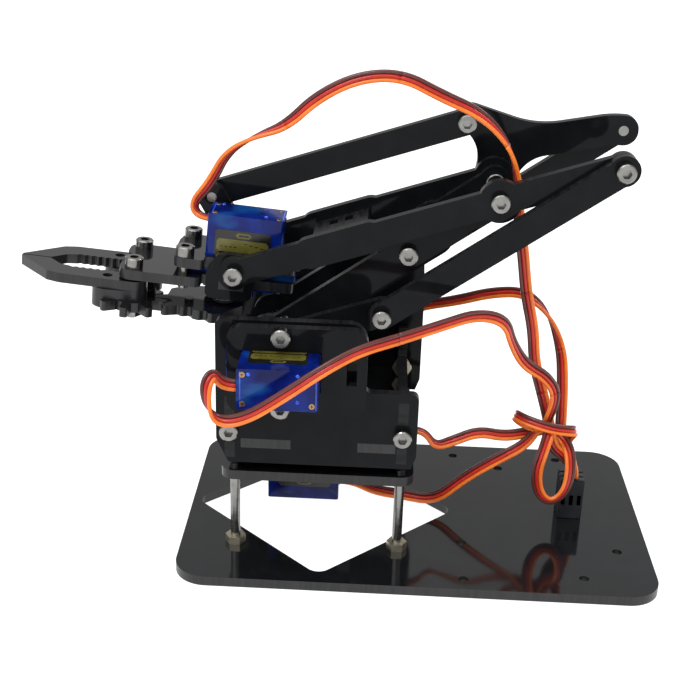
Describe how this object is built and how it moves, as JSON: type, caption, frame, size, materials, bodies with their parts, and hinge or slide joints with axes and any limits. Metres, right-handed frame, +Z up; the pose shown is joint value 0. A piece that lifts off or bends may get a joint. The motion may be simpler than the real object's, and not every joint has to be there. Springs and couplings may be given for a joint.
{
  "type": "desktop robot arm",
  "caption": "Desktop robot arm of laser-cut black acrylic plates with parallel links, small servos, a geared two-finger claw and knotted servo leads.",
  "frame": {"origin": "on the turret's turning axis, at the underside of the base plate", "axes": "+X is the arm's reach, +Y its left, +Z up"},
  "size_m": [0.1966, 0.113, 0.1454],
  "materials": {
    "black_acrylic": "polished faces, satin laser-cut edges",
    "servo_case": "translucent blue moulding",
    "white_nylon": "moulded, matte",
    "steel_fasteners": "plated steel",
    "lead_wire": "soft vinyl, three wires side by side: brown, red and orange",
    "plug_plastic": "moulded, satin"
  },
  "bodies": {
    "base": {"base_plate": "black_acrylic", "servo_mount_plate": "black_acrylic", "base_servo_collar": "black_acrylic", "standoff_screws": "steel_fasteners", "standoff_nuts": "steel_fasteners", "base_servo_case": "servo_case", "base_servo_cover": "servo_case", "gripper_lead": "lead_wire", "elbow_lead": "lead_wire", "shoulder_lead": "lead_wire", "base_lead": "lead_wire", "lead_plugs": "plug_plastic"},
    "turret": {"turret_horn": "white_nylon", "turret_floor": "black_acrylic", "near_side_plate": "black_acrylic", "far_side_plate": "black_acrylic", "front_cross_plate": "black_acrylic", "rear_cross_plate": "black_acrylic", "elbow_servo_case": "servo_case", "elbow_servo_cover": "servo_case", "shoulder_servo_case": "servo_case", "shoulder_servo_cover": "servo_case", "near_collar": "black_acrylic", "far_collar": "black_acrylic", "turret_screws": "steel_fasteners", "turret_nuts": "steel_fasteners", "rod_spacer": "black_acrylic"},
    "crank": {"crank": "black_acrylic", "elbow_horn": "white_nylon", "crank_pivot_screw": "steel_fasteners"},
    "crank_pin": {"crank_pin_screw": "steel_fasteners"},
    "drive_link": {"drive_link": "black_acrylic"},
    "lower_arm": {"near_lower_arm": "black_acrylic", "far_lower_arm": "black_acrylic", "lower_arm_brace": "black_acrylic", "shoulder_horn": "white_nylon", "lower_arm_fasteners": "steel_fasteners"},
    "triangle": {"level_triangle": "black_acrylic", "triangle_screws": "steel_fasteners"},
    "top_link": {"top_link": "black_acrylic"},
    "rear_rod": {"rear_rod": "black_acrylic"},
    "forearm": {"near_forearm": "black_acrylic", "far_forearm": "black_acrylic", "forearm_brace": "black_acrylic", "tail_screw": "steel_fasteners"},
    "gripper": {"gripper_plate": "black_acrylic", "gripper_collar": "black_acrylic", "near_bracket": "black_acrylic", "far_bracket": "black_acrylic", "gripper_servo_case": "servo_case", "gripper_servo_cover": "servo_case", "gripper_fasteners": "steel_fasteners"},
    "sector": {"gear_sector": "black_acrylic", "gripper_horn": "white_nylon"},
    "near_jaw": {"near_finger": "black_acrylic", "near_spacer": "black_acrylic", "near_jaw_gear": "black_acrylic"},
    "far_jaw": {"far_finger": "black_acrylic", "far_spacer": "black_acrylic", "far_jaw_gear": "black_acrylic"}
  },
  "joints": [
    {"name": "turret_yaw", "type": "hinge", "parent": "base", "child": "turret", "pos_m": [0, 0, 0.036], "axis": [0, 0, 1], "range_deg": [-90, 90], "deforming": ["gripper_lead", "elbow_lead", "shoulder_lead", "base_lead"]},
    {"name": "shoulder", "type": "hinge", "parent": "turret", "child": "lower_arm", "pos_m": [0.01584, 0, 0.0656], "axis": [0, 1, 0], "range_deg": [-2, 75]},
    {"name": "elbow", "type": "hinge", "parent": "turret", "child": "crank", "pos_m": [0.01584, 0, 0.0656], "axis": [0, 1, 0], "range_deg": [-45, 2]},
    {"name": "crank_pin_turn", "type": "hinge", "parent": "crank", "child": "crank_pin", "pos_m": [-0.01743, 0, 0.07646], "axis": [0, 1, 0], "range_deg": [-2, 45]},
    {"name": "drive_link_turn", "type": "hinge", "parent": "crank_pin", "child": "drive_link", "pos_m": [-0.01743, 0, 0.07646], "axis": [0, 1, 0], "range_deg": [-2, 75]},
    {"name": "triangle_turn", "type": "hinge", "parent": "lower_arm", "child": "triangle", "pos_m": [-0.04965, 0, 0.11154], "axis": [0, 1, 0], "range_deg": [-75, 2]},
    {"name": "forearm_turn", "type": "hinge", "parent": "triangle", "child": "forearm", "pos_m": [-0.04965, 0, 0.11154], "axis": [0, 1, 0], "range_deg": [-45, 2]},
    {"name": "top_link_turn", "type": "hinge", "parent": "triangle", "child": "top_link", "pos_m": [-0.04039, 0, 0.12811], "axis": [0, 1, 0], "range_deg": [-45, 2]},
    {"name": "rear_rod_turn", "type": "hinge", "parent": "turret", "child": "rear_rod", "pos_m": [-0.0218, 0, 0.0805], "axis": [0, 1, 0], "range_deg": [-2, 75]},
    {"name": "wrist", "type": "hinge", "parent": "forearm", "child": "gripper", "pos_m": [0.0264, 0, 0.08673], "axis": [0, 1, 0], "range_deg": [-2, 45]},
    {"name": "near_jaw_turn", "type": "hinge", "parent": "gripper", "child": "near_jaw", "pos_m": [0.05773, 0.0086, 0.07742], "axis": [-0.0872, 0, 0.9962], "range_deg": [0, 35]},
    {"name": "far_jaw_turn", "type": "hinge", "parent": "gripper", "child": "far_jaw", "pos_m": [0.05773, -0.0086, 0.07742], "axis": [-0.0872, 0, 0.9962], "range_deg": [-35, 0]},
    {"name": "sector_turn", "type": "hinge", "parent": "gripper", "child": "sector", "pos_m": [0.03124, 0, 0.07511], "axis": [-0.0872, 0, 0.9962], "range_deg": [-15.57, 0]}
  ],
  "couplings": [
    {"joint": "crank_pin_turn", "follows": "elbow", "ratio": -1},
    {"joint": "drive_link_turn", "follows": "shoulder", "ratio": 1},
    {"joint": "triangle_turn", "follows": "shoulder", "ratio": -1},
    {"joint": "forearm_turn", "follows": "elbow", "ratio": 1},
    {"joint": "top_link_turn", "follows": "elbow", "ratio": 1},
    {"joint": "rear_rod_turn", "follows": "shoulder", "ratio": 1},
    {"joint": "wrist", "follows": "elbow", "ratio": -1},
    {"joint": "far_jaw_turn", "follows": "near_jaw_turn", "ratio": -1},
    {"joint": "sector_turn", "follows": "near_jaw_turn", "ratio": -0.44444}
  ]
}
